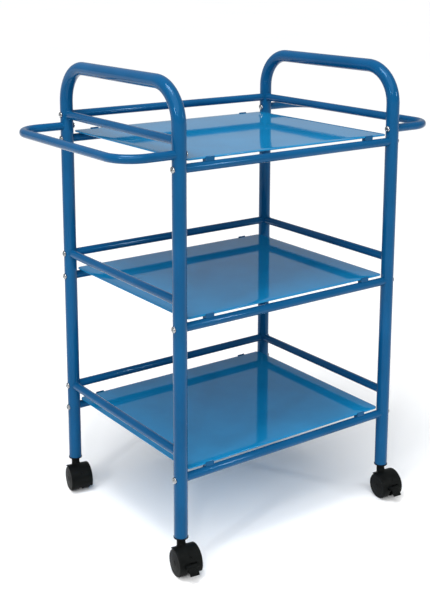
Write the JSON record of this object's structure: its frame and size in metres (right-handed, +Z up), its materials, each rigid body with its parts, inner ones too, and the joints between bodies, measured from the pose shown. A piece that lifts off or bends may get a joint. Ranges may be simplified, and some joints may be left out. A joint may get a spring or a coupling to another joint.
{
  "type": "rolling salon trolley",
  "caption": "Tube-frame salon trolley with flat glossy shelves, guard rails, push-bar hoops, end handles and hooded twin-wheel swivel casters.",
  "frame": {"origin": "on the floor under the middle of the frame", "axes": "+Z up, +X along the shelves to the right-hand end, -Y towards the open front"},
  "size_m": [0.736, 0.5017, 0.8907],
  "materials": {
    "blue_tube": "glossy powder coat",
    "blue_shelf": "mirror-smooth gloss enamel",
    "plated_steel": "bright zinc plating",
    "bright_steel": "bright turned steel",
    "black_collar": "satin moulded",
    "black_hood": "fine moulded grain",
    "black_wheel": "satin nylon"
  },
  "bodies": {
    "frame": {"left_hoop": "blue_tube", "left_end_rail_bottom": "blue_tube", "left_end_rail_middle": "blue_tube", "left_end_rail_top": "blue_tube", "left_handle": "blue_tube", "right_hoop": "blue_tube", "right_end_rail_bottom": "blue_tube", "right_end_rail_middle": "blue_tube", "right_end_rail_top": "blue_tube", "right_handle": "blue_tube", "back_guard_rail_bottom": "blue_tube", "front_shelf_rail_bottom": "blue_tube", "back_shelf_rail_bottom": "blue_tube", "shelf_bottom": "blue_shelf", "shelf_clips_bottom": "blue_tube", "back_guard_rail_middle": "blue_tube", "front_shelf_rail_middle": "blue_tube", "back_shelf_rail_middle": "blue_tube", "shelf_middle": "blue_shelf", "shelf_clips_middle": "blue_tube", "back_guard_rail_top": "blue_tube", "front_shelf_rail_top": "blue_tube", "back_shelf_rail_top": "blue_tube", "shelf_top": "blue_shelf", "shelf_clips_top": "blue_tube", "rail_screws": "plated_steel", "handle_screws": "plated_steel", "rail_inserts": "bright_steel", "handle_inserts": "bright_steel", "grip_rings": "bright_steel", "front_left_socket": "black_collar", "front_right_socket": "black_collar", "back_left_socket": "black_collar", "back_right_socket": "black_collar"},
    "front_left_caster": {"front_left_hood": "black_hood", "front_left_stem": "bright_steel", "front_left_axle": "bright_steel", "front_left_pedal_pin": "bright_steel"},
    "front_left_outer_roller": {"front_left_wheel_outer": "black_wheel"},
    "front_left_inner_roller": {"front_left_wheel_inner": "black_wheel"},
    "front_left_brake": {"front_left_brake_pedal": "black_hood"},
    "front_right_caster": {"front_right_hood": "black_hood", "front_right_stem": "bright_steel", "front_right_axle": "bright_steel", "front_right_pedal_pin": "bright_steel"},
    "front_right_outer_roller": {"front_right_wheel_outer": "black_wheel"},
    "front_right_inner_roller": {"front_right_wheel_inner": "black_wheel"},
    "front_right_brake": {"front_right_brake_pedal": "black_hood"},
    "back_left_caster": {"back_left_hood": "black_hood", "back_left_stem": "bright_steel", "back_left_axle": "bright_steel"},
    "back_left_outer_roller": {"back_left_wheel_outer": "black_wheel"},
    "back_left_inner_roller": {"back_left_wheel_inner": "black_wheel"},
    "back_right_caster": {"back_right_hood": "black_hood", "back_right_stem": "bright_steel", "back_right_axle": "bright_steel"},
    "back_right_outer_roller": {"back_right_wheel_outer": "black_wheel"},
    "back_right_inner_roller": {"back_right_wheel_inner": "black_wheel"}
  },
  "joints": [
    {"name": "front_left_swivel", "type": "hinge", "parent": "frame", "child": "front_left_caster", "pos_m": [-0.248, -0.197, 0.062], "axis": [0, 0, 1], "continuous": true},
    {"name": "front_left_outer_roll", "type": "hinge", "parent": "front_left_caster", "child": "front_left_outer_roller", "pos_m": [-0.25023, -0.21284, 0.025], "axis": [0.9903, -0.1392, 0], "continuous": true},
    {"name": "front_left_inner_roll", "type": "hinge", "parent": "front_left_caster", "child": "front_left_inner_roller", "pos_m": [-0.25023, -0.21284, 0.025], "axis": [0.9903, -0.1392, 0], "continuous": true},
    {"name": "front_left_brake_press", "type": "hinge", "parent": "front_left_caster", "child": "front_left_brake", "pos_m": [-0.25449, -0.24316, 0.02985], "axis": [0.9903, -0.1392, 0], "range_deg": [0, 25]},
    {"name": "front_right_swivel", "type": "hinge", "parent": "frame", "child": "front_right_caster", "pos_m": [0.248, -0.197, 0.062], "axis": [0, 0, 1], "continuous": true},
    {"name": "front_right_outer_roll", "type": "hinge", "parent": "front_right_caster", "child": "front_right_outer_roller", "pos_m": [0.24633, -0.21291, 0.025], "axis": [0.9945, -0.1045, 0], "continuous": true},
    {"name": "front_right_inner_roll", "type": "hinge", "parent": "front_right_caster", "child": "front_right_inner_roller", "pos_m": [0.24633, -0.21291, 0.025], "axis": [0.9945, -0.1045, 0], "continuous": true},
    {"name": "front_right_brake_press", "type": "hinge", "parent": "front_right_caster", "child": "front_right_brake", "pos_m": [0.24313, -0.24336, 0.02985], "axis": [0.9945, -0.1045, 0], "range_deg": [0, 25]},
    {"name": "back_left_swivel", "type": "hinge", "parent": "frame", "child": "back_left_caster", "pos_m": [-0.248, 0.197, 0.062], "axis": [0, 0, 1], "continuous": true},
    {"name": "back_left_outer_roll", "type": "hinge", "parent": "back_left_caster", "child": "back_left_outer_roller", "pos_m": [-0.25078, 0.18124, 0.025], "axis": [0.9848, -0.1736, 0], "continuous": true},
    {"name": "back_left_inner_roll", "type": "hinge", "parent": "back_left_caster", "child": "back_left_inner_roller", "pos_m": [-0.25078, 0.18124, 0.025], "axis": [0.9848, -0.1736, 0], "continuous": true},
    {"name": "back_right_swivel", "type": "hinge", "parent": "frame", "child": "back_right_caster", "pos_m": [0.248, 0.197, 0.062], "axis": [0, 0, 1], "continuous": true},
    {"name": "back_right_outer_roll", "type": "hinge", "parent": "back_right_caster", "child": "back_right_outer_roller", "pos_m": [0.25501, 0.21138, 0.025], "axis": [-0.8988, 0.4384, 0], "continuous": true},
    {"name": "back_right_inner_roll", "type": "hinge", "parent": "back_right_caster", "child": "back_right_inner_roller", "pos_m": [0.25501, 0.21138, 0.025], "axis": [-0.8988, 0.4384, 0], "continuous": true}
  ]
}
